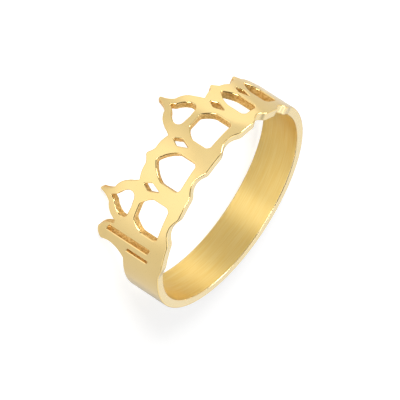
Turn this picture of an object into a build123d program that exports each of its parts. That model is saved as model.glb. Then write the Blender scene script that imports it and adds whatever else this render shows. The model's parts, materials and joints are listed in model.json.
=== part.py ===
from build123d import *

import os
from collections import namedtuple
from math import atan, cos, degrees, pi, radians, tan

# Pierced crest ring: one flat strip of metal, cut through and bent round into a finger ring.
# A plain band closes the ring behind. In front a crest of pointed openings rises from it: two
# tall gables, three low ones, a curled leaf at one end and a slope at the other.
#
# The ring lies on its side, as a ring does when it is put down, with its straight edge up. It
# leans on the tips of the two tall gables and on the back of the band. The origin is under the
# middle of its box, +Z is up and the crest faces -Y.
#
# The ring is first made upright, with the crest pointing up, and turned over at the end. Heights
# are measured along the finger from the straight edge, and angles round the finger, in degrees,
# from the front of the ring towards +X.

# The band, in millimetres
finger_diameter = 17.3
wall = 0.75
band_width = 3.55
band_bevel = 0.08

# Heights in the crest, in millimetres above the straight edge
crest_height = 7.0
low_gable_height = 4.95
shoulder_height = 4.3
leaf_height = 6.25
transom_height = 3.35
rail_height = 0.85
scallop_rise = 0.2
foot_drop = 0.25

# Widths of metal left between the openings, in millimetres
pier_width = 1.5
transom_width = 0.6
gable_stroke = 1.05
tip_width = 0.22

# Openings, in millimetres
sill_splay = 0.25
kite_width = 0.72
kite_height = 1.5
kite_cover = 0.5
slit_width = 0.56
slit_foot = 1.15
slit_cover = 0.85

# Angles round the finger, in degrees
crest_start = -59.0
crest_end = 86.0
leaf_span = 18.0
foot_run_out = 9.0

# Bays of the crest, from left to right: half of the bay's angle, its height as a share of its
# kind's height, and the valley on its right as a share of the shoulder's height
BayRow = namedtuple("BayRow", "half_angle tall tip valley")
BAYS = [
    BayRow(14, True, 1.00, 1.00),
    BayRow(13, False, 1.00, 1.00),
    BayRow(14, True, 1.00, 0.98),
    BayRow(10, False, 0.98, 0.94),
    BayRow(10, False, 0.96, 0.92),
]

# An edge is a list of rows. Each row is a corner and the bow of the run that follows it: how far
# the run's middle swells outwards, as a share of half its length. A negative bow sags.
EdgeRow = namedtuple("EdgeRow", "out up bow")

# Half of a gable's top edge, from the tip down: out as a share of the half bay, up as a share
# of the way from the shoulder, or in a low gable from the valley, to the tip
TALL_GABLE = [EdgeRow(0.00, 1.00, -0.16), EdgeRow(0.30, 0.60, 0.26), EdgeRow(0.84, 0.22, 0.05)]
LOW_GABLE = [EdgeRow(0.00, 1.00, -0.10), EdgeRow(0.34, 0.40, 0.12)]

# The leaf's edge, from the band to the first gable: out as a share of the leaf's span, up as a
# share of the way from the band's edge to the leaf's top
LEAF = [
    EdgeRow(0.00, 0.00, -0.25),
    EdgeRow(0.32, 0.54, -0.10),
    EdgeRow(0.24, 0.85, 0.22),
    EdgeRow(0.64, 1.00, 0.22),
    EdgeRow(1.00, 0.52, 0.00),
]

# Half of each light, from its head down: shares of its half width and of its height
LOW_LIGHT = [EdgeRow(0.00, 1.00, 0.16), EdgeRow(1.00, 0.55, 0.00)]
TALL_LOWER_LIGHT = [EdgeRow(0.45, 1.00, 0.12), EdgeRow(1.00, 0.62, 0.00)]
TALL_UPPER_LIGHT = [
    EdgeRow(0.00, 1.00, -0.10),
    EdgeRow(0.28, 0.74, 0.18),
    EdgeRow(1.00, 0.32, 0.00),
    EdgeRow(1.00, 0.20, 0.20),
    EdgeRow(0.70, 0.04, 0.00),
    EdgeRow(0.00, 0.00, 0.00),
]
upper_light_width = 0.76

# Slits in the leaf: place as a share of the leaf's span, width as a share of the slit width, and
# top as a share of the height between the slit's foot and the leaf's edge
SlitRow = namedtuple("SlitRow", "place width top")
SLITS = [SlitRow(0.43, 0.60, 0.50), SlitRow(0.80, 1.00, 1.00)]
slit_slant = 0.7
slit_bow = 0.12

# Other shares
kite_shoulder = 0.57
scallop_width = 0.85
slope_bow = -0.12
foot_bow = 0.1

# Cutters start inside the finger hole, end outside the ring and run past what they trim.
near_share = 0.75
far_share = 1.2
spare_height = 1.0
spare_depth = 0.1
spare_angle = 1.0

inner_radius = finger_diameter / 2
outer_radius = inner_radius + wall
mm_per_degree = outer_radius * pi / 180

Bay = namedtuple("Bay", "middle half tall tip left_valley right_valley")


def crest_bays():
    """Bays from left to right, with angles in degrees and heights in millimetres."""
    bays = []
    left = crest_start + leaf_span
    left_valley = band_width + LEAF[-1].up * (leaf_height - band_width)
    for row in BAYS:
        tip = row.tip * (crest_height if row.tall else low_gable_height)
        right_valley = row.valley * shoulder_height
        bays.append(Bay(left + row.half_angle, row.half_angle, row.tall, tip, left_valley, right_valley))
        left += 2 * row.half_angle
        left_valley = right_valley
    return bays


def bow_point(start, end):
    """Angle and height of the middle of the bowed run between two corners."""
    along = (end[0] - start[0]) * mm_per_degree
    rise = end[1] - start[1]
    angle = (start[0] + end[0]) / 2 - start[2] * rise / 2 / mm_per_degree
    height = (start[1] + end[1]) / 2 + start[2] * along / 2
    return angle, height


def radial_cutter(corners):
    """Solid whose walls point at the finger's middle, through corners (angle, height, bow): a ruled
    loft between the outline on a plane inside the finger hole and on one outside the ring."""
    angles = [corner[0] for corner in corners]
    middle = (min(angles) + max(angles)) / 2

    def section(distance):
        def placed(angle, height):
            return Vector(distance * tan(radians(angle - middle)), -distance, height)

        edges = []
        for start, end in zip(corners, corners[1:] + corners[:1]):
            first = placed(start[0], start[1])
            last = placed(end[0], end[1])
            if start[2]:
                edges.append(Edge.make_three_point_arc(first, placed(*bow_point(start, end)), last))
            else:
                edges.append(Edge.make_line(first, last))
        return Wire(edges)

    near = section(inner_radius * near_share)
    far = section(outer_radius * far_share)
    return Rot(0, 0, middle) * Solid.make_loft([near, far], ruled=True)


def over_the_top(middle, left_half, right_half):
    """Corners from the left foot over the head to the right foot. A half is rows (millimetres out,
    height, bow) from the head down, and a row that lies on the middle line is used once."""
    corners = []
    for index in reversed(range(len(left_half))):
        out, height, _ = left_half[index]
        bow = left_half[index - 1][2] if index else 0
        corners.append((middle - out / mm_per_degree, height, bow))
    if right_half[0][0] == 0:
        corners.pop()
    corners += [(middle + out / mm_per_degree, height, bow) for out, height, bow in right_half]
    if right_half[-1][0] == 0:
        corners.pop()
    return corners


def blank_hoop():
    """Uncut strip, bent round, from the feet to a little above the tips."""
    height = foot_drop + crest_height + spare_depth
    hoop = Cylinder(outer_radius, height) - Cylinder(inner_radius, height)
    return Pos(0, 0, height / 2 - foot_drop) * hoop


def back_trim(edge_height, outwards):
    """Takes the strip behind the crest down to one edge of the band, bevelled on both sides.
    Outwards is 1 for the edge on the crest's side and -1 for the straight edge."""
    bevel = min(band_bevel, wall / 4)
    side = inner_radius * (1 - near_share)
    far = edge_height + outwards * (crest_height + spare_height)
    slant = edge_height - outwards * (bevel + side)
    corners = [(inner_radius - side, far), (inner_radius - side, slant), (inner_radius + bevel, edge_height)]
    corners += [(outer_radius - bevel, edge_height), (outer_radius + side, slant), (outer_radius + side, far)]
    profile = make_face(Polyline([(radius, 0, height) for radius, height in corners], close=True))
    trim = revolve(profile, Axis.Z, 360 - (crest_end - crest_start))
    return Rot(0, 0, crest_end - 90) * trim


def half_gable(bay, valley):
    """Top edge of half a gable, from its blunt tip down to the valley beside it."""
    reach = bay.half * mm_per_degree
    base = shoulder_height if bay.tall else valley
    rows = []
    for row in TALL_GABLE if bay.tall else LOW_GABLE:
        rows.append((max(row.out * reach, tip_width / 2), base + row.up * (bay.tip - base), row.bow))
    rows.append((reach, valley, 0))
    return rows


def sky_over(bay):
    """What is cut away above one gable, wider at the top so that neighbours overlap."""
    corners = over_the_top(bay.middle, half_gable(bay, bay.left_valley), half_gable(bay, bay.right_valley))
    top = crest_height + spare_height
    side = bay.half + spare_angle
    return radial_cutter(corners + [(bay.middle + side, top, 0), (bay.middle - side, top, 0)])


def sky_over_leaf():
    """What is cut away above the leaf, from the band's edge to the first gable."""
    rise = leaf_height - band_width
    top = crest_height + spare_height
    start = crest_start - spare_angle
    corners = [(start, band_width + spare_depth, 0)]
    corners += [(crest_start + row.out * leaf_span, band_width + row.up * rise, row.bow) for row in LEAF]
    corners += [(crest_start + leaf_span + spare_angle, top, 0), (start, top, 0)]
    return radial_cutter(corners)


def sky_over_slope(last):
    """What is cut away above the slope, from the last gable down to the band's edge."""
    top = crest_height + spare_height
    start = last.middle + last.half
    end = crest_end + spare_angle
    corners = [(start, last.right_valley, slope_bow), (crest_end, band_width, 0)]
    corners += [(end, band_width + spare_depth, 0), (end, top, 0), (start - spare_angle, top, 0)]
    return radial_cutter(corners)


def light(bay, table, half, foot, head):
    """Opening with the edge of a table, between a foot and a head."""
    rows = [(row.out * half, foot + row.up * (head - foot), row.bow) for row in table]
    if rows[-1][0] > 0:
        rows += [(half, foot + sill_splay, 0), (half - sill_splay, foot, 0)]
    return radial_cutter(over_the_top(bay.middle, rows, rows))


def lights(bay):
    """Openings of one bay: one below its gable, or two with a transom between them."""
    half = bay.half * mm_per_degree - pier_width / 2
    head = bay.tip - gable_stroke
    if not bay.tall:
        return [light(bay, LOW_LIGHT, half, rail_height, head)]
    return [
        light(bay, TALL_LOWER_LIGHT, half, rail_height, transom_height),
        light(bay, TALL_UPPER_LIGHT, half * upper_light_width, transom_height + transom_width, head),
    ]


def kite(angle, valley):
    """Small kite through the head of the pier below a valley."""
    reach = kite_width / 2 / mm_per_degree
    head = valley - kite_cover
    foot = head - kite_height
    side = foot + kite_height * kite_shoulder
    corners = [(angle - reach, side, 0), (angle, head, 0), (angle + reach, side, 0), (angle, foot, 0)]
    return radial_cutter(corners)


def slit(row):
    """Upright slit through the leaf, with a slanted foot and a bowed, slanted head."""
    reach = row.width * slit_width / 2
    angle = crest_start + row.place * leaf_span
    slant = slit_slant * reach
    head = slit_foot + row.top * (leaf_height - slit_cover - slit_foot)
    left = angle - reach / mm_per_degree
    right = angle + reach / mm_per_degree
    corners = [(left, slit_foot + slant, 0), (left, head, slit_bow)]
    corners += [(right, head - slant, 0), (right, slit_foot, 0)]
    return radial_cutter(corners)


def scallop(bay):
    """Shallow hollow in the straight edge under a bay, which leaves a foot under each pier."""
    reach = scallop_width * (bay.half * mm_per_degree - pier_width / 2)
    low = -foot_drop - spare_depth
    bow = (scallop_rise - low) / reach
    left = bay.middle - reach / mm_per_degree
    right = bay.middle + reach / mm_per_degree
    return radial_cutter([(left, low, bow), (right, low, 0)])


def foot_run_outs():
    """Trims both ends of the crest's feet back to the band's straight edge."""
    low = -foot_drop - spare_depth
    start = crest_start - spare_angle
    end = crest_end + spare_angle
    left = [(start, -spare_depth, 0), (crest_start, 0, foot_bow), (crest_start + foot_run_out, low, 0)]
    right = [(crest_end - foot_run_out, low, foot_bow), (crest_end, 0, 0), (end, -spare_depth, 0)]
    return [radial_cutter(left + [(start, low, 0)]), radial_cutter(right + [(end, low, 0)])]


def upright_ring(bays):
    """Bent strip, less everything that is cut from it."""
    cutters = foot_run_outs() + [sky_over_leaf(), sky_over_slope(bays[-1])]
    cutters += [slit(row) for row in SLITS]
    for bay in bays:
        cutters += lights(bay) + [sky_over(bay), scallop(bay)]
    for bay in bays[:-1]:
        cutters.append(kite(bay.middle + bay.half, bay.right_valley))
    ring = blank_hoop() - back_trim(band_width, 1) - back_trim(0, -1)
    for cutter in cutters:
        ring -= cutter
    return ring


def resting_lean(bays):
    """Lean of the finger's axis, in degrees, when the ring rests on its tall tips and its back."""
    tip_angle = max(abs(bay.middle) for bay in bays if bay.tall)
    front = inner_radius * cos(radians(tip_angle))
    back = outer_radius - min(band_bevel, wall / 4)
    return degrees(atan((crest_height - band_width) / (front + back)))


def resting_place(ring, lean):
    """Location that turns the ring over, leans it and sets it down, its origin under its middle."""
    turned = Rot(-lean, 0, 0) * Rot(0, 180, 0)
    box = (turned * ring).bounding_box()
    return Pos(-box.center().X, -box.center().Y, -box.min.Z) * turned


crest = crest_bays()
ring = upright_ring(crest)
lean = resting_lean(crest)
place = resting_place(ring, lean)
resting_ring = place * ring

os.makedirs("parts", exist_ok=True)
export_step(resting_ring, "parts/pierced_ring.step")
print("solids", len(resting_ring.solids()), "volume mm3", round(resting_ring.volume, 3))
print("lean deg", round(lean, 4), "finger axis at the straight edge", place.position)
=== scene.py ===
# %% [markdown]
# # A pierced crest ring in Blender
#
# The real ring is one flat strip of gold-plated steel. A laser cuts its outline and its openings,
# the strip is bent round a mandrel and closed, and the edges are tumbled until they are round.
# The lesson follows the maker: draw the strip flat, round its corners, bend it, then polish it.
# The frame comes first, because it says where the ring lies and how large it is.

import json
from collections import namedtuple

import bpy
import numpy as np
from mathutils import Matrix, Vector
from mathutils.geometry import delaunay_2d_cdt


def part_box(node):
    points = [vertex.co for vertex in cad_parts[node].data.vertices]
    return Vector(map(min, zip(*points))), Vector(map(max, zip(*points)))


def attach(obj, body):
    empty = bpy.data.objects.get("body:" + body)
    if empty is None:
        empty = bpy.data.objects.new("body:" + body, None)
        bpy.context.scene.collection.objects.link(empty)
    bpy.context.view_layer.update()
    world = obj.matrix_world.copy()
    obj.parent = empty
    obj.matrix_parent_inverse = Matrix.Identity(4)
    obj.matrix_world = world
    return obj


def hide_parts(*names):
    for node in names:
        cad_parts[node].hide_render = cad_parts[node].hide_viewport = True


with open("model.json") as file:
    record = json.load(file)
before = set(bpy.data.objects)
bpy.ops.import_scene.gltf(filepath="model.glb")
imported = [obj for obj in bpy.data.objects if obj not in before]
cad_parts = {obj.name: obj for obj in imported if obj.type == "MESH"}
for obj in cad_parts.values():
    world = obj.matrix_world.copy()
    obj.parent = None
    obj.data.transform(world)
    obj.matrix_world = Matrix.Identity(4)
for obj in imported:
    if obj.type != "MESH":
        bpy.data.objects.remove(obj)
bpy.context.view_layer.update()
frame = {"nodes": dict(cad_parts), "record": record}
ring_low, ring_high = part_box("pierced_ring")
print("nodes", sorted(frame["nodes"]), "with the ring from", tuple(ring_low), "to", tuple(ring_high))

# %% [markdown]
# ## The ring's own directions
#
# The ring lies on its side and leans on the tips of its crest, so its axis isn't upright. The
# finger bore in the frame gives that axis, and the frame's box gives the outer radius. All
# lengths below are in millimetres, and only the finished mesh is turned into metres. Angles run
# round the finger from the middle of the crest, and heights run from the straight edge to the tips.

# %% Axis, radii and centre
mm = 0.001
bore = frame["record"]["mounts"][0]
axis = np.array(bore["axis"])
rise = -axis
front = np.array([0, -axis[2], axis[1]])
side = np.array([-1.0, 0, 0])
inner_radius = bore["dims"]["r_mm"]
outer_radius = round(max(-ring_low.x, ring_high.x) / mm, 3)
wall = outer_radius - inner_radius
girth = 2 * np.pi * outer_radius
mm_per_degree = girth / 360
band_width = 3.55
centre = np.array(bore["pos_m"]) / mm - rise * band_width / 2
print("bore radius", inner_radius, "wall", round(wall, 3), "straight edge at", centre.round(4))

# %% [markdown]
# ## The strip's outline, drawn flat
#
# An outline could be a list of many points, but a maker thinks in corners and in how far each run
# between them swells. So each table row is a corner and the bow of the run after it, as a share of
# half the run's length. On the flat strip a point is one complex number: millimetres round the
# outside, plus i times the height. Then a quarter turn to the left is simply a product with i.

# %% Sizes of the crest
crest_height = 7.0
low_gable_height = 4.95
shoulder_height = 4.3
leaf_height = 6.25
transom_height = 3.35
rail_height = 0.85
scallop_rise = 0.2
foot_drop = 0.25
pier_width = 1.5
transom_width = 0.6
gable_stroke = 1.05
tip_width = 0.22
crest_start = -59.0
crest_end = 86.0
leaf_span = 18.0
foot_run_out = 9.0

BayRow = namedtuple("BayRow", "half_angle tall tip valley")
BAYS = [
    BayRow(14, True, 1.00, 1.00),
    BayRow(13, False, 1.00, 1.00),
    BayRow(14, True, 1.00, 0.98),
    BayRow(10, False, 0.98, 0.94),
    BayRow(10, False, 0.96, 0.92),
]
print("crest from", crest_start, "to", crest_end, "degrees,", len(BAYS), "bays")

# %% Edge tables, shares of the sizes above
EdgeRow = namedtuple("EdgeRow", "out up bow")
TALL_GABLE = [EdgeRow(0.00, 1.00, -0.16), EdgeRow(0.30, 0.60, 0.26), EdgeRow(0.84, 0.22, 0.05)]
LOW_GABLE = [EdgeRow(0.00, 1.00, -0.10), EdgeRow(0.34, 0.40, 0.12)]
LEAF = [
    EdgeRow(0.00, 0.00, -0.25),
    EdgeRow(0.32, 0.54, -0.10),
    EdgeRow(0.24, 0.85, 0.22),
    EdgeRow(0.64, 1.00, 0.22),
    EdgeRow(1.00, 0.52, 0.00),
]
LOW_LIGHT = [EdgeRow(0.00, 1.00, 0.16), EdgeRow(1.00, 0.55, 0.00)]
TALL_LOWER_LIGHT = [EdgeRow(0.45, 1.00, 0.12), EdgeRow(1.00, 0.62, 0.00)]
TALL_UPPER_LIGHT = [
    EdgeRow(0.00, 1.00, -0.10),
    EdgeRow(0.28, 0.74, 0.18),
    EdgeRow(1.00, 0.32, 0.00),
    EdgeRow(1.00, 0.20, 0.20),
    EdgeRow(0.70, 0.04, 0.00),
    EdgeRow(0.00, 0.00, 0.00),
]
Bay = namedtuple("Bay", "middle half tall tip left_valley right_valley")


def crest_bays():
    """Bays from left to right, with angles in degrees and heights in millimetres."""
    bays = []
    left = crest_start + leaf_span
    left_valley = band_width + LEAF[-1].up * (leaf_height - band_width)
    for row in BAYS:
        tip = row.tip * (crest_height if row.tall else low_gable_height)
        right_valley = row.valley * shoulder_height
        middle = left + row.half_angle
        bays.append(Bay(middle, row.half_angle, row.tall, tip, left_valley, right_valley))
        left += 2 * row.half_angle
        left_valley = right_valley
    return bays


bays = crest_bays()
print("bay middles at", [bay.middle for bay in bays], "degrees")

# %% [markdown]
# ## From corners to a smooth line
#
# Every run is an arc through its two corners, so one formula serves straight and bowed runs. The
# line is then spaced evenly and blurred along its length, which rounds each corner as tumbling
# does, and leaves long runs where they were. A closed opening comes back to its start, while an
# edge of the strip comes back one whole girth further on. That distance is the outline's turn.

# %% Arcs, even spacing and rounded corners
fine_step = 0.01
corner_blur = 0.06
path_step = 0.08
arc_steps = 48
nearly_straight = 1e-9
fewest_points = 8


def arcs(corners, turn=0.0):
    """Line through corners (degrees round, height, bow). A run from a to b bows to the left by
    tan(half its angle): middle + half · (sin(angle·u) + i·(cos(angle·u) - cos angle)) / sin angle,
    for u from -1 to 1. Turn is added to the first corner to close the line."""
    degrees, height, bow = np.array(corners, float).T
    start = degrees * mm_per_degree + 1j * height
    end = np.append(start[1:], start[0] + turn)
    angle = 2 * np.arctan(np.where(bow == 0, nearly_straight, bow))[:, None]
    u = np.linspace(-1, 1, arc_steps + 1)[:-1]
    swell = (np.sin(angle * u) + 1j * (np.cos(angle * u) - np.cos(angle))) / np.sin(angle)
    return ((start + end)[:, None] / 2 + (end - start)[:, None] / 2 * swell).ravel()


def spaced(line, step, turn=0.0):
    """The same closed line with even spacing: its length so far, read off at equal distances."""
    closed = np.append(line, line[0] + turn)
    length = np.concatenate([[0], np.cumsum(np.abs(np.diff(closed)))])
    count = max(fewest_points, round(length[-1] / step))
    places = np.linspace(0, length[-1], count, endpoint=False)
    return np.interp(places, length, closed.real) + 1j * np.interp(places, length, closed.imag)


def tumbled(line, turn=0.0, blur=corner_blur):
    """Evenly spaced line with round corners: the line less its steady advance is blurred along its
    length with a bell curve, by a product with the bell's own transform, and spaced again."""
    fine = spaced(line, fine_step, turn)
    advance = turn * np.arange(len(fine)) / len(fine)
    waves = 2 * np.pi * np.fft.fftfreq(len(fine), fine_step)
    bell = np.exp(-((waves * blur) ** 2) / 2)
    return spaced(np.fft.ifft(np.fft.fft(fine - advance) * bell) + advance, path_step, turn)


print("path step", path_step, "mm, corners blurred over", corner_blur, "mm")

# %% [markdown]
# ## The crest's edge
#
# The upper edge runs once round the ring: along the band behind, up over the leaf, over five
# gables and down the slope. Halves of a gable share one table, read from the tip outwards, so a
# gable is drawn from one half, mirrored.

# %% Upper edge
slope_bow = -0.12


def over_the_top(middle, left_half, right_half):
    """Corners from the left foot over the head to the right foot. A half is rows (millimetres out,
    height, bow) from the head down, and a row that lies on the middle line is used once."""
    bows = [0] + [bow for _, _, bow in left_half]
    left = [(middle - out / mm_per_degree, up, bow) for (out, up, _), bow in zip(left_half, bows)]
    left.reverse()
    right = [(middle + out / mm_per_degree, up, bow) for out, up, bow in right_half]
    if right_half[0][0] == 0:
        left.pop()
    if right_half[-1][0] == 0:
        right.pop()
    return left + right


def half_gable(bay, valley):
    """Rows of half a gable's edge, from its blunt tip down to the valley beside it."""
    reach = bay.half * mm_per_degree
    base = shoulder_height if bay.tall else valley
    rows = []
    for row in TALL_GABLE if bay.tall else LOW_GABLE:
        out = max(row.out * reach, tip_width / 2)
        rows.append((out, base + row.up * (bay.tip - base), row.bow))
    return rows + [(reach, valley, 0)]


def crest_edge():
    """Corners of the upper edge, from behind the ring over the crest to behind the ring again."""
    rise_of_leaf = leaf_height - band_width
    corners = [(-180, band_width, 0)]
    for row in LEAF[:-1]:
        place = crest_start + row.out * leaf_span
        corners.append((place, band_width + row.up * rise_of_leaf, row.bow))
    for bay in bays:
        left, right = half_gable(bay, bay.left_valley), half_gable(bay, bay.right_valley)
        corners += over_the_top(bay.middle, left, right)[:-1]
    end_of_gables = bays[-1].middle + bays[-1].half
    return corners + [(end_of_gables, bays[-1].right_valley, slope_bow), (crest_end, band_width, 0)]


upper_edge = np.roll(tumbled(arcs(crest_edge(), girth), girth)[::-1], 1)
upper_edge[0] += girth
print("upper edge:", len(upper_edge), "points, highest at", round(upper_edge.imag.max(), 3), "mm")

# %% [markdown]
# ## The straight edge
#
# Under each bay the straight edge is hollowed a little, which leaves a foot under each pier. The
# edge never folds back, so it is the highest of a few simple curves, worked out on one even grid.
# It is worn rounder than the cuts above it, so its corners are blurred over a longer stretch.

# %% Lower edge
scallop_width = 0.85
foot_bow = 0.1
spare = 0.1
worn_blur = 0.2


def straight_edge():
    """The highest of the feet's flat level, the run-outs to the band and the scallops' arcs."""
    low = -foot_drop - spare
    round_the_ring = np.linspace(-girth / 2, girth / 2, round(girth / fine_step), endpoint=False)
    run_outs = [(-180, 0, 0), (crest_start, 0, foot_bow), (crest_start + foot_run_out, low, 0)]
    run_outs += [(crest_end - foot_run_out, low, foot_bow), (crest_end, 0, 0), (180, 0, 0)]
    base = arcs(run_outs)
    base = base[: -len(base) // len(run_outs)]
    height = np.maximum(np.interp(round_the_ring, base.real, base.imag), -foot_drop)
    for bay in bays:
        reach = scallop_width * (bay.half * mm_per_degree - pier_width / 2)
        left, right = bay.middle - reach / mm_per_degree, bay.middle + reach / mm_per_degree
        scallop = arcs([(left, low, (scallop_rise - low) / reach), (right, low, 0)])
        scallop = scallop[: len(scallop) // 2]
        height = np.maximum(height, np.interp(round_the_ring, scallop.real, scallop.imag, low, low))
    return round_the_ring + 1j * height


lower_edge = tumbled(straight_edge(), girth, worn_blur)
print("lower edge:", len(lower_edge), "points, from", round(lower_edge.imag.min(), 3), "mm")

# %% [markdown]
# ## The openings
#
# Tall bays hold two lights with a transom between them, low bays one. A kite pierces the head of
# each pier and two slits pierce the leaf. They are cut right through, as on the real ring, so the
# floor and the far side show through them.

# %% Lights, kites and slits
sill_splay = 0.25
upper_light_width = 0.76
kite_width = 0.72
kite_height = 1.5
kite_cover = 0.5
kite_shoulder = 0.57
slit_width = 0.56
slit_foot = 1.15
slit_cover = 0.85
slit_slant = 0.7
slit_bow = 0.12
SlitRow = namedtuple("SlitRow", "place width top")
SLITS = [SlitRow(0.43, 0.60, 0.50), SlitRow(0.80, 1.00, 1.00)]


def light(bay, table, half, foot, head):
    """Corners of an opening with a table's edge, between a foot and a head."""
    rows = [(row.out * half, foot + row.up * (head - foot), row.bow) for row in table]
    if rows[-1][0] > 0:
        rows += [(half, foot + sill_splay, 0), (half - sill_splay, foot, 0)]
    return over_the_top(bay.middle, rows, rows)


def lights(bay):
    """Openings of one bay: one below its gable, or two with a transom between them."""
    half = bay.half * mm_per_degree - pier_width / 2
    head = bay.tip - gable_stroke
    if not bay.tall:
        return [light(bay, LOW_LIGHT, half, rail_height, head)]
    upper_foot = transom_height + transom_width
    return [
        light(bay, TALL_LOWER_LIGHT, half, rail_height, transom_height),
        light(bay, TALL_UPPER_LIGHT, half * upper_light_width, upper_foot, head),
    ]


def kite(angle, valley):
    """Corners of a small kite below a valley."""
    reach = kite_width / 2 / mm_per_degree
    head = valley - kite_cover
    foot = head - kite_height
    belly = foot + kite_height * kite_shoulder
    return [(angle - reach, belly, 0), (angle, head, 0), (angle + reach, belly, 0), (angle, foot, 0)]


def slit(row):
    """Corners of an upright slit, with a slanted foot and a bowed, slanted head."""
    reach = row.width * slit_width / 2
    angle = crest_start + row.place * leaf_span
    slant = slit_slant * reach
    head = slit_foot + row.top * (leaf_height - slit_cover - slit_foot)
    left, right = angle - reach / mm_per_degree, angle + reach / mm_per_degree
    left_side = [(left, slit_foot + slant, 0), (left, head, slit_bow)]
    return left_side + [(right, head - slant, 0), (right, slit_foot, 0)]


cut_outs = [corners for bay in bays for corners in lights(bay)]
cut_outs += [kite(bay.middle + bay.half, bay.right_valley) for bay in bays[:-1]]
cut_outs += [slit(row) for row in SLITS]
openings = [tumbled(arcs(corners)) for corners in cut_outs]
print(len(openings), "openings with", sum(map(len, openings)), "points")

# %% [markdown]
# ## Filling the sheet
#
# A plain grid can't follow pointed openings, and a Boolean would leave ragged edges. Instead the
# flat sheet is filled with triangles between its outlines and an even field of inner points, and
# only then bent. The sheet has an open seam at the back of the band for this, and the two sides of
# the seam share their points again afterwards, so that the bent sheet is closed.

# %% Flat sheet
edge_round = 0.1
field_step = 0.4
clear_of_edge = 0.16
seam_foot = 0.5
seam_head = 0.3


def inward(line, turn=0.0):
    """Unit steps from a line into the metal, which lies on its left: its direction times i."""
    ahead = np.append(line[1:], line[0] + turn)
    behind = np.insert(line[:-1], 0, line[-1] - turn)
    return 1j * (ahead - behind) / np.abs(ahead - behind)


loops = [upper_edge, lower_edge] + openings
turns = [-girth, girth] + [0.0] * len(openings)
steps_in = [inward(line, turn) for line, turn in zip(loops, turns)]
face_loops = [line + step * edge_round for line, step in zip(loops, steps_in)]
starts = np.cumsum([0] + [len(line) for line in loops])
rim = np.concatenate(face_loops)


def joined(start, count):
    """Index pairs of a closed loop: each point with the next, and the last with the first."""
    index = np.arange(start, start + count)
    return np.stack([index, np.roll(index, -1)], axis=1)


def inside(places, outline, pairs):
    """True for the places from which a line straight up crosses the outlines an odd number of
    times: the level of each segment above a place is read off along the segment."""
    a, b = outline[pairs[:, 0]], outline[pairs[:, 1]]
    run = np.where(b.real == a.real, 1, b.real - a.real)
    column = places[:, None]
    spans = (a.real > column.real) != (b.real > column.real)
    level = a.imag + (column.real - a.real) * (b.imag - a.imag) / run
    return (spans & (level > column.imag)).sum(1) % 2 == 1


def field(outline, pairs):
    """Inner points in staggered rows, kept where they are inside and no outline point is close."""
    places = np.arange(-girth / 2 + field_step, girth / 2 - field_step / 2, field_step)
    heights = np.arange(-foot_drop, crest_height, field_step * np.sqrt(3) / 2)
    rows = [places + n % 2 * field_step / 2 + 1j * height for n, height in enumerate(heights)]
    free = [np.abs(row[:, None] - outline).min(1) > clear_of_edge for row in rows]
    return np.concatenate([row[clear & inside(row, outline, pairs)] for row, clear in zip(rows, free)])


upper_count, lower_count = len(upper_edge), len(lower_edge)
left_seam = -girth / 2 + 1j * np.arange(seam_foot, band_width - seam_head, field_step)
seam_start = len(rim)
upper_close = seam_start + len(left_seam)
lower_close = upper_close + 1
right_seam = upper_close + 2
closing = np.array([rim[0] - girth, rim[upper_count] + girth])
flat_edges = np.concatenate([rim, left_seam, closing, left_seam + girth])
opened = [joined(start, len(line)) for start, line in zip(starts, loops)]
opened[0][-1, 1] = upper_close
opened[1][-1, 1] = lower_close
seam_index = np.arange(len(left_seam))
left_side = np.concatenate([[upper_count], seam_start + seam_index, [upper_close]])
right_side = np.concatenate([[lower_close], right_seam + seam_index, [0]])
sides = [np.stack([path[:-1], path[1:]], axis=1) for path in (left_side, right_side)]
inner_field = field(flat_edges, np.concatenate(opened))
flat = np.concatenate([flat_edges, inner_field])
print("outline points", len(rim), "inner points", len(inner_field))

# %% Triangles of the sheet
CONVEX_HULL = 0
merge_distance = 1e-7
chunks = 20
flat_points = np.stack([flat.real, flat.imag], axis=1)
flat_pairs = np.concatenate(opened + sides)
made = delaunay_2d_cdt(
    flat_points.tolist(), flat_pairs.tolist(), [], CONVEX_HULL, merge_distance, False
)
slack = np.abs(np.array(made[0]) - flat_points).max()
hull = np.array(made[2])
middles = flat[hull].mean(1)
is_metal = [inside(part, flat, np.concatenate(opened)) for part in np.array_split(middles, chunks)]
triangles = hull[np.concatenate(is_metal)]
print(len(triangles), "of", len(hull), "triangles are metal, points moved by at most", slack, "mm")

# %% [markdown]
# ## Bending the strip
#
# Bending is one formula for every point: the distance round the outside becomes an angle, and the
# angle becomes a place on the circle. The laser cut through the flat strip, so the walls of the
# cuts point at the finger's middle once the strip is bent.

# %% Bend


def directions(line):
    """Outward and forward unit vectors at an angle round the finger: cos·front + sin·side and
    cos·side - sin·front, where the angle is the distance round divided by the outer radius."""
    angle = (line.real / outer_radius)[..., None]
    outward = np.cos(angle) * front + np.sin(angle) * side
    return outward, np.cos(angle) * side - np.sin(angle) * front


def bent(line, radius):
    """Points in space: centre + radius · outward + height · rise, in millimetres."""
    outward, _ = directions(line)
    return centre + radius * outward + line.imag[..., None] * rise


first_tip = np.array([bays[0].middle * mm_per_degree + 1j * bays[0].tip])
print("tip of the first gable:", bent(first_tip, outer_radius)[0].round(3), "mm")

# %% [markdown]
# ## The edge's section
#
# Tumbling leaves a quarter round on both sides of every edge, with the cut wall between. Such a
# section could come from a Bevel modifier, but a bevel on this many short faces is slow and
# uneven. So the section is a profile that is carried along each outline. Each of its points has
# a radius, an inset into the metal and a lean of the surface, from 90 degrees on the outer face
# over 0 on the wall to -90 on the inner face. The lean gives exact normals as well.

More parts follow.
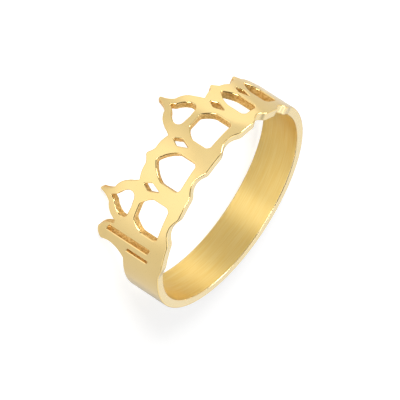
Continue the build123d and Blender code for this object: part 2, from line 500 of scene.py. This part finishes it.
# %% Profile carried along the outlines
round_steps = 4
outer_lean = np.linspace(np.pi / 2, 0, round_steps + 1)
profile_lean = np.concatenate([outer_lean, -outer_lean[::-1]])
outer_part = outer_radius - edge_round * (1 - np.sin(outer_lean))
inner_part = inner_radius + edge_round * (1 - np.sin(outer_lean[::-1]))
profile_radius = np.concatenate([outer_part, inner_part])
profile_inset = edge_round * (1 - np.cos(profile_lean))


def carried(line, step):
    """Grid of points and normals, profile by outline: the point is the outline moved in by the
    inset and bent at the radius, and the normal is sin(lean) · outward + cos(lean) · away."""
    moved = line + profile_inset[:, None] * step
    outward, forward = directions(moved)
    away = -(step.real[:, None] * forward + step.imag[:, None] * rise)
    lean = profile_lean[:, None, None]
    normals = np.sin(lean) * outward + np.cos(lean) * away
    return bent(moved, profile_radius[:, None, None]), normals


print(len(profile_lean), "points in the edge's section, rounds of", edge_round, "mm")

# %% [markdown]
# ## One closed mesh
#
# The outer sheet, the inner sheet and the carried edges share their border points by index, so
# the ring is watertight without merging. Each face knows its finish: polished outside, satin
# inside, grainy where the laser cut the crest, and smooth on the inner rounds, along the straight
# edge and on the band's edges.

# %% Points and normals
POLISHED, SATIN, CUT, SMOOTH = range(4)
own = np.arange(len(flat))
own[[upper_close, lower_close]] = [0, upper_count]
own[right_seam + seam_index] = seam_start + seam_index
kept = np.unique(own)
place_of = np.zeros(len(flat), int)
place_of[kept] = np.arange(len(kept))
sheet_index = place_of[own]
sheet = flat[kept]
sheet_outward, _ = directions(sheet)
grids = [carried(line, step) for line, step in zip(loops, steps_in)]
edge_points = np.concatenate([points for points, _ in grids], axis=1)
edge_normals = np.concatenate([normals for _, normals in grids], axis=1)
walls = edge_points[1:-1].reshape(-1, 3)
points = np.concatenate([bent(sheet, outer_radius), bent(sheet, inner_radius), walls])
normals = np.concatenate([sheet_outward, -sheet_outward, edge_normals[1:-1].reshape(-1, 3)])
print(len(points), "points")

# %% Faces and finishes
rim_count = len(rim)
rows = np.arange(len(profile_lean))[:, None]
ladder = 2 * len(sheet) + (rows - 1) * rim_count + np.arange(rim_count)
ladder[0] = np.arange(rim_count)
ladder[-1] = len(sheet) + np.arange(rim_count)
ring_pairs = np.concatenate([joined(start, len(line)) for start, line in zip(starts, loops)])
here, ahead = ladder[:, ring_pairs[:, 0]], ladder[:, ring_pairs[:, 1]]
quads = np.stack([here[:-1], here[1:], ahead[1:], ahead[:-1]], axis=-1)

in_crest = (rim.real > crest_start * mm_per_degree) & (rim.real < crest_end * mm_per_degree)
in_crest[upper_count : upper_count + lower_count] = False
quad_finish = np.full(quads.shape[:2], SMOOTH)
quad_finish[:round_steps] = POLISHED
quad_finish[round_steps] = np.where(in_crest, CUT, SMOOTH)

outer_faces = sheet_index[triangles]
inner_faces = outer_faces[:, ::-1] + len(sheet)
edge_faces = quads.reshape(-1, 4)
sheet_finish = np.repeat([POLISHED, SATIN], [len(outer_faces), len(inner_faces)])
finish = np.concatenate([sheet_finish, quad_finish.ravel()])
print(len(outer_faces), "outer,", len(inner_faces), "inner and", len(edge_faces), "edge faces")

# %% [markdown]
# ## Facing outwards
#
# The three kinds of faces were made in different orders, so some may point into the metal. A
# face's own normal is compared with the exact normal of its first point, kind by kind, and a kind
# that disagrees has its corners reversed.

# %% Mesh


def facing_out(corners):
    """The corners, reversed where the faces they make point against the exact normals."""
    a, b, c = (points[corners[:, n]] for n in (0, 1, 2))
    agree = (np.cross(b - a, c - a) * normals[corners[:, 0]]).sum(1)
    print("   ", (agree > 0).sum(), "of", len(corners), "faces point outwards")
    return corners if (agree > 0).mean() > 0.5 else corners[:, ::-1]


kinds = [facing_out(kind) for kind in (outer_faces, inner_faces, edge_faces)]
mesh = bpy.data.meshes.new("pierced_ring_gold")
mesh.from_pydata((points * mm).tolist(), [], [corners for kind in kinds for corners in kind.tolist()])
mesh.polygons.foreach_set("material_index", finish.astype(np.int32))
mesh.polygons.foreach_set("use_smooth", np.ones(len(mesh.polygons), bool))
mesh.update()
mesh.normals_split_custom_set_from_vertices(normals.tolist())
print("mesh had to be mended:", mesh.validate(verbose=True))
ring = bpy.data.objects.new("pierced_ring_gold", mesh)
bpy.context.scene.collection.objects.link(ring)
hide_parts("pierced_ring")
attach(ring, "root")
triangle_count = sum(len(kind) * (kind.shape[1] - 2) for kind in kinds)
print("ring mesh:", len(mesh.vertices), "vertices,", triangle_count, "triangles")

# %% [markdown]
# ## Writing a finish as a formula
#
# A finish is a small sum of patterns. Written as Python expressions it reads like the sum itself:
# a wrapped socket adds the Math node for each operator. Colours and vectors would turn grey in a
# Math node, so they go through Mix and Vector Math instead.

# %% Socket class


class Value:
    """A node's output, written as a number: each operator adds its Math node."""

    def __init__(self, bench, socket):
        self.bench = bench
        self.socket = socket

    def also(self, name):
        """Another output of the same node."""
        return Value(self.bench, self.socket.node.outputs[name])

    def math(self, operation, *values):
        return self.bench.node("ShaderNodeMath", {"operation": operation}, *values)

    def __add__(self, other):
        return self.math("ADD", self, other)

    def __radd__(self, other):
        return self.math("ADD", other, self)

    def __sub__(self, other):
        return self.math("SUBTRACT", self, other)

    def __rsub__(self, other):
        return self.math("SUBTRACT", other, self)

    def __mul__(self, other):
        return self.math("MULTIPLY", self, other)

    def __rmul__(self, other):
        return self.math("MULTIPLY", other, self)


class Bench:
    """The node tree of a material or world, with one method that adds any node."""

    def __init__(self, owner):
        owner.use_nodes = True
        self.tree = owner.node_tree
        self.tree.nodes.clear()

    def node(self, kind, settings, *values, out=0, **named):
        """A new node: its settings first, then the values or links of its sockets, in order or by
        name. Returns one of its outputs."""
        new = self.tree.nodes.new(kind)
        for name, setting in settings.items():
            setattr(new, name, setting)
        for key, value in [*enumerate(values), *named.items()]:
            socket = new.inputs[key if isinstance(key, int) else key.replace("_", " ")]
            if isinstance(value, Value):
                self.tree.links.new(value.socket, socket)
            else:
                socket.default_value = value
        return Value(self, new.outputs[out]) if new.outputs else None

    def mixed(self, share, first, second):
        """First colour blended into the second by a share from 0 to 1."""
        new = self.tree.nodes.new("ShaderNodeMix")
        new.data_type = "RGBA"
        for index, value in ((0, share), (6, first), (7, second)):
            if isinstance(value, Value):
                self.tree.links.new(value.socket, new.inputs[index])
            else:
                new.inputs[index].default_value = value
        return Value(self, new.outputs[2])

    def step(self, value, low, high):
        """0 below low, 1 above high, and a smooth ramp between."""
        smooth = {"interpolation_type": "SMOOTHSTEP"}
        return self.node("ShaderNodeMapRange", smooth, value, low, high, 0.0, 1.0)

    def noise(self, place, scale, detail=2.0):
        """Soft noise from 0 to 1 at a place."""
        return self.node("ShaderNodeTexNoise", {}, Vector=place, Scale=scale, Detail=detail)


print("nodes are added by Bench, maths by Value")

# %% [markdown]
# ## Places on the ring
#
# The ring leans, so a pattern on plain Object coordinates would run askew. A Mapping node turns
# the coordinates into the ring's own: millimetres, with Z along the finger. A pattern that is
# squeezed along Z and stretched across it then runs round the band like the marks of a brush, and
# has no seam, because it is read in space and not from an unrolled map.

# %% Ring coordinates
lean = np.arctan2(axis[1], axis[2])


def ring_place(bench):
    """Object coordinates moved to the ring's centre, turned to its axis and read in millimetres."""
    place = bench.node("ShaderNodeTexCoord", {}, out="Object")
    inverse = {"vector_type": "TEXTURE"}
    turn = Vector((-lean, 0, 0))
    scale = Vector((mm, mm, mm))
    return bench.node("ShaderNodeMapping", inverse, place, Vector(centre * mm), turn, scale)


def stretched(bench, place, across, along):
    """A place scaled across the finger and along it, for patterns with a direction."""
    scale = Vector((across, across, along))
    return bench.node("ShaderNodeVectorMath", {"operation": "MULTIPLY"}, place, scale)


def metal(name, colour, roughness, height, depth, **fixed):
    """Ends a finish: a metallic Principled shader with a bumped normal, whose height is in shares
    of a depth in millimetres. The fixed values are the same all over the surface."""
    bench = roughness.bench
    normal = bench.node("ShaderNodeBump", {}, Strength=1.0, Distance=depth * mm, Height=height)
    shader = bench.node(
        "ShaderNodeBsdfPrincipled",
        {},
        Base_Color=colour,
        Roughness=roughness,
        Metallic=1.0,
        Normal=normal,
        **fixed,
    )
    bench.node("ShaderNodeOutputMaterial", {}, shader)
    print(name, "has", len(bench.tree.nodes), "nodes")


print("the finger's axis leans", round(np.degrees(lean), 3), "degrees")

# %% [markdown]
# ## Polished gold
#
# The outside is plated and polished on a soft wheel. Close up it is never a perfect mirror: the
# wheel leaves hair lines in all directions, the plating has a faint orange peel, and fingers
# leave duller clouds. Each of these is one noise at its own scale, and all of them stay weak.

# %% Polished finish
PALE_GOLD = (0.95, 0.715, 0.32, 1)
DEEP_GOLD = (0.93, 0.67, 0.26, 1)
deepest_cloud = 0.35
wheel_roughness = 0.07
peel_depth = 0.004
wave_height = 11.0
hair_height = 0.04


def polished_gold(material):
    """Clouds shift the colour and the gloss a little. The height is long waves, then peel, then hair
    lines both ways, and the roughness is the wheel's own plus clouds and hair lines."""
    bench = Bench(material)
    place = ring_place(bench)
    clouds = bench.noise(place, scale=0.35)
    waves = bench.noise(place, scale=0.3, detail=0.0)
    peel = bench.noise(place, scale=0.9)
    long_hairs = bench.noise(stretched(bench, place, across=9.0, along=1.2), scale=2.0)
    cross_hairs = bench.noise(stretched(bench, place, across=1.4, along=12.0), scale=2.0)
    hairs = long_hairs + cross_hairs
    share = bench.step(clouds, low=0.35, high=0.75) * deepest_cloud
    roughness = wheel_roughness + clouds * 0.05 + hairs * 0.02
    height = waves * wave_height + peel + hairs * hair_height
    metal("polished gold", bench.mixed(share, PALE_GOLD, DEEP_GOLD), roughness, height, peel_depth)


polished = bpy.data.materials.new("polished_gold")
polished_gold(polished)

# %% [markdown]
# ## Satin gold
#
# The inside was finished on a turning mandrel, so its brush marks run round the finger. They
# spread a reflection along the finger only, which is what anisotropy does. A coarse and a fine
# set of marks give the satin its grain, and the coarse marks change between two shades of gold.

# %% Satin finish
SATIN_GOLD = (0.89, 0.69, 0.28, 1)
SATIN_SHADE = (0.86, 0.62, 0.205, 1)
satin_roughness = 0.34
brush_depth = 0.003
BRUSHED = {"Anisotropic": 0.8, "Anisotropic_Rotation": 0.25}


def satin_gold(material):
    """Brush marks: noise squeezed along the finger and stretched round it. The coarse marks shift
    the colour, both sets make the height, and clouds make some places a little duller."""
    bench = Bench(material)
    place = ring_place(bench)
    marks = bench.noise(stretched(bench, place, across=0.35, along=14.0), scale=1.0, detail=4.0)
    fine_marks = bench.noise(stretched(bench, place, across=0.8, along=40.0), scale=1.0)
    clouds = bench.noise(place, scale=0.3)
    colour = bench.mixed(bench.step(marks, low=0.3, high=0.7), SATIN_GOLD, SATIN_SHADE)
    roughness = satin_roughness + marks * 0.08 + clouds * 0.08
    metal("satin gold", colour, roughness, marks + fine_marks * 0.5, brush_depth, **BRUSHED)


satin = bpy.data.materials.new("satin_gold")
satin_gold(satin)

# %% [markdown]
# ## Cut gold
#
# A laser melts its way through the strip and leaves a grainy wall, duller than the faces and with
# bright specks. The walls' darker, more orange gold is painted shade, for gold mirroring gold in
# the narrow cuts.

# %% Cut finish
# The dark colour is painted shade for gold mirroring gold in the cuts; the grain mixes it with the
# light one.
CUT_DARK_GRAIN_AND_SHADE = (0.66, 0.38, 0.10, 1)
CUT_LIGHT = (0.95, 0.68, 0.28, 1)
cut_roughness = 0.5
grain_depth = 0.03


def cut_gold(material):
    """Grain: noise with fine detail, in the colour and the bump. Specks stand out and shine more."""
    bench = Bench(material)
    place = ring_place(bench)
    grain = bench.noise(place, scale=6.0, detail=5.0)
    specks = bench.step(bench.noise(place, scale=14.0), low=0.55, high=0.72)
    colour = bench.mixed(bench.step(grain, low=0.3, high=0.7), CUT_DARK_GRAIN_AND_SHADE, CUT_LIGHT)
    roughness = cut_roughness - specks * 0.2
    metal("cut gold", colour, roughness, grain + specks * 0.3, grain_depth)


cut = bpy.data.materials.new("cut_gold")
cut_gold(cut)

# %% [markdown]
# ## Smooth edges
#
# The straight edge and the band's edges rub on the tumbling stones most, so they are smoother
# than the cut walls, though not as glossy as the polished face. On the real ring they also look a
# little paler than the faces, so they have a tint of their own.

# %% Smooth finish
RIM_GOLD = (0.92, 0.76, 0.44, 1)
rim_roughness = 0.22
rub_depth = 0.003


def smooth_gold(material):
    """Fine rubbing marks and faint clouds, which mix a little of the face's gold into the rim's."""
    bench = Bench(material)
    place = ring_place(bench)
    rubs = bench.noise(stretched(bench, place, across=5.0, along=5.0), scale=1.0, detail=3.0)
    clouds = bench.noise(place, scale=0.5)
    roughness = rim_roughness + clouds * 0.06 + rubs * 0.03
    metal("smooth gold", bench.mixed(clouds * 0.4, RIM_GOLD, PALE_GOLD), roughness, rubs, rub_depth)


smooth = bpy.data.materials.new("smooth_gold")
smooth_gold(smooth)
for material in (polished, satin, cut, smooth):
    mesh.materials.append(material)

# %% [markdown]
# ## A pale table, lit from below
#
# Small jewels are often photographed on white acrylic with lamps under it: the table glows and
# its shadows stay pale. The outer faces of the ring mirror the table in front and beside it, and the
# satin mirrors the table inside it, so pools of light in the right places brighten each of them.
# The lens should still see an even white table. A Light Path node tells the two apart: rays from
# the lens see a plain glow that is brighter far away, and all other rays see the pools. Only one
# faint pool under the ring shows to both.

# %% Floor
table_half = 2.0
table_corners = [(x * table_half, y * table_half, 0) for x, y in ((-1, -1), (1, -1), (1, 1), (-1, 1))]
table_mesh = bpy.data.meshes.new("floor")
table_mesh.from_pydata(table_corners, [], [(0, 1, 2, 3)])
floor = bpy.data.objects.new("floor", table_mesh)
bpy.context.scene.collection.objects.link(floor)
print("floor", 2 * table_half, "m wide")

# %% Acrylic with pools of light
Pool = namedtuple("Pool", "x y half_width half_depth")
OUTER_POOLS = [Pool(11, -34, 29, 29), Pool(-18, -7.5, 14, 7.5)]
INSIDE_POOL = Pool(3.5, 1.5, 2.5, 2.5)
MIDDLE_POOL = Pool(0, 0, 12, 12)
HORIZON = Pool(0, 0, 60, 60)
TABLE_WHITE = (0.6, 0.6, 0.6, 1)
WHITE = (1, 1, 1, 1)
pool_core = 0.55
mirrored_glow = 0.13
outer_glow = 0.34
inside_glow = 3.0
middle_glow = 0.2
lens_glow = 0.53
horizon_glow = 0.35

floor_material = bpy.data.materials.new("white_acrylic")
acrylic = Bench(floor_material)
seen = acrylic.node("ShaderNodeLightPath", {}, out="Is Camera Ray")
table_place = acrylic.node("ShaderNodeTexCoord", {}, out="Object")


def distance(oval):
    """Distance from the middle of an oval in millimetres, where 1 is its edge: the place and the
    middle are both divided by the oval's half width and half depth."""
    size = Vector((1 / oval.half_width, 1 / oval.half_depth, 1)) / mm
    shares = acrylic.node("ShaderNodeVectorMath", {"operation": "MULTIPLY"}, table_place, size)
    middle = Vector((oval.x / oval.half_width, oval.y / oval.half_depth, 0))
    measure = {"operation": "DISTANCE"}
    return acrylic.node("ShaderNodeVectorMath", measure, shares, middle, out="Value")


def pool(oval):
    """Soft oval of light on the table, 1 in its core and 0 from its edge on."""
    return 1 - acrylic.step(distance(oval), pool_core, 1.0)


outer_pools = pool(OUTER_POOLS[0]) + pool(OUTER_POOLS[1])
far_away = acrylic.step(distance(HORIZON), low=0.35, high=1.0)
mirrored = mirrored_glow + outer_pools * outer_glow + pool(INSIDE_POOL) * inside_glow
through_lens = lens_glow + far_away * horizon_glow
glow = acrylic.node(
    "ShaderNodeBsdfPrincipled",
    {},
    Base_Color=TABLE_WHITE,
    Roughness=0.6,
    Specular_IOR_Level=0.0,
    Emission_Color=WHITE,
    Emission_Strength=mirrored * (1 - seen) + through_lens * seen + pool(MIDDLE_POOL) * middle_glow,
)
acrylic.node("ShaderNodeOutputMaterial", {}, glow)
table_mesh.materials.append(floor_material)
print("the table's material has", len(acrylic.tree.nodes), "nodes")

# %% [markdown]
# ## Soft light all round
#
# Polished metal shows its surroundings, so the surroundings are the light. A pale tent is a little
# brighter overhead and brightest behind the ring, where the rim looks. Its front is dark above the
# horizon, a little to one side: the rounded edges sweep over that dark side, which draws the thin
# olive lines along the crest. It fades towards the horizon, because the outer faces look there when
# they are seen from low down.

# %% Tent
tent_level = 0.6
behind_gain = 0.35
overhead_gain = 0.2
dark_share = 0.92


def pointing(azimuth, elevation):
    """Unit vector for degrees round from the front towards -x, and degrees up from the table."""
    turn, climb = np.radians(azimuth), np.radians(elevation)
    return Vector((-np.sin(turn) * np.cos(climb), -np.cos(turn) * np.cos(climb), np.sin(climb)))


to_dark = pointing(-30.0, 25.0)
world = bpy.data.worlds.new("tent")
bpy.context.scene.world = world
tent = Bench(world)
direction = tent.node("ShaderNodeTexCoord", {}, out="Generated")
height = tent.node("ShaderNodeSeparateXYZ", {}, direction, out="Z")
behind = tent.step(height.also("Y"), low=0.2, high=0.9)
overhead = tent.step(height, low=0.3, high=1.0)
nearness = {"operation": "DOT_PRODUCT"}
toward = tent.node("ShaderNodeVectorMath", nearness, direction, to_dark, out="Value")
dark_side = tent.step(toward, low=0.2, high=0.5) * tent.step(height, low=0.2, high=0.55)
pale = tent_level + behind * behind_gain + overhead * overhead_gain
sky = tent.node("ShaderNodeBackground", {}, WHITE, pale * (1 - dark_side * dark_share))
tent.node("ShaderNodeOutputWorld", {}, sky)
print("the tent is darkest towards", tuple(round(v, 3) for v in to_dark))

# %% [markdown]
# ## Softboxes
#
# Area lights stand in for softboxes. Each is given by the brightness of its face, which is what a
# mirror shows, and its power follows from that: brightness · pi · area. The strips and the fill draw
# the bands of light on the satin, and the table doesn't see them. Both strips hang higher than the
# outer faces look, so they leave no white patches there. The table lamp casts the soft shadow, and
# the metal doesn't see it.

# %% Softboxes
Softbox = namedtuple("Softbox", "name place width height brightness on_metal on_table")
SOFTBOXES = [
    Softbox("overhead", (0.0, 0.05, 0.5), 0.35, 0.35, 1.0, True, True),
    Softbox("front_strip", (0.047, -0.241, 0.172), 0.14, 0.07, 10.2, True, False),
    Softbox("side_strip", (-0.249, -0.018, 0.162), 0.12, 0.07, 11.8, True, False),
    Softbox("fill", (0.25, -0.12, 0.06), 0.30, 0.09, 1.1, True, False),
    Softbox("table_lamp", (-0.09, -0.25, 0.12), 0.10, 0.10, 30.0, False, True),
]


def hang(box):
    """An area light at the softbox's place in metres, turned to the ring."""
    data = bpy.data.lights.new(box.name, "AREA")
    data.shape = "RECTANGLE"
    data.size, data.size_y = box.width, box.height
    data.energy = box.brightness * np.pi * box.width * box.height
    lamp = bpy.data.objects.new(box.name, data)
    lamp.location = box.place
    lamp.rotation_mode = "QUATERNION"
    lamp.rotation_quaternion = (-Vector(box.place)).to_track_quat("-Z", "Y")
    lamp.visible_camera = False
    lamp.visible_glossy = box.on_metal
    lamp.visible_diffuse = box.on_table
    bpy.context.scene.collection.objects.link(lamp)
    print(box.name, "gives", round(data.energy, 3), "watts")


for box in SOFTBOXES:
    hang(box)

# %% [markdown]
# ## Camera
#
# A long lens from far away, so the ring shows almost no perspective. The photograph's camera was
# turned about its own view, so the ring lies slanted in the picture, and a roll does the same here.

# %% Camera
camera_aim = Vector((0.85, -0.775, 3.325)) * mm
camera_distance = 554 * mm
camera_roll = np.radians(-123.015)
sensor_width = 36
focal_length = 625.2
nearest, farthest = 0.01, 20
to_camera = pointing(0.104, 32.294)
lens = bpy.data.cameras.new("camera")
lens.sensor_width = sensor_width
lens.lens = focal_length
lens.clip_start, lens.clip_end = nearest, farthest
camera = bpy.data.objects.new("camera", lens)
bpy.context.scene.collection.objects.link(camera)
level = to_camera.to_track_quat("Z", "Y").to_matrix()
turned = (level @ Matrix.Rotation(-camera_roll, 3, "Z")).to_4x4()
camera.matrix_world = Matrix.Translation(camera_aim + to_camera * camera_distance) @ turned
bpy.context.scene.camera = camera
bpy.context.scene.view_settings.view_transform = "Standard"
print("camera at", tuple(round(v, 4) for v in camera.matrix_world.translation))
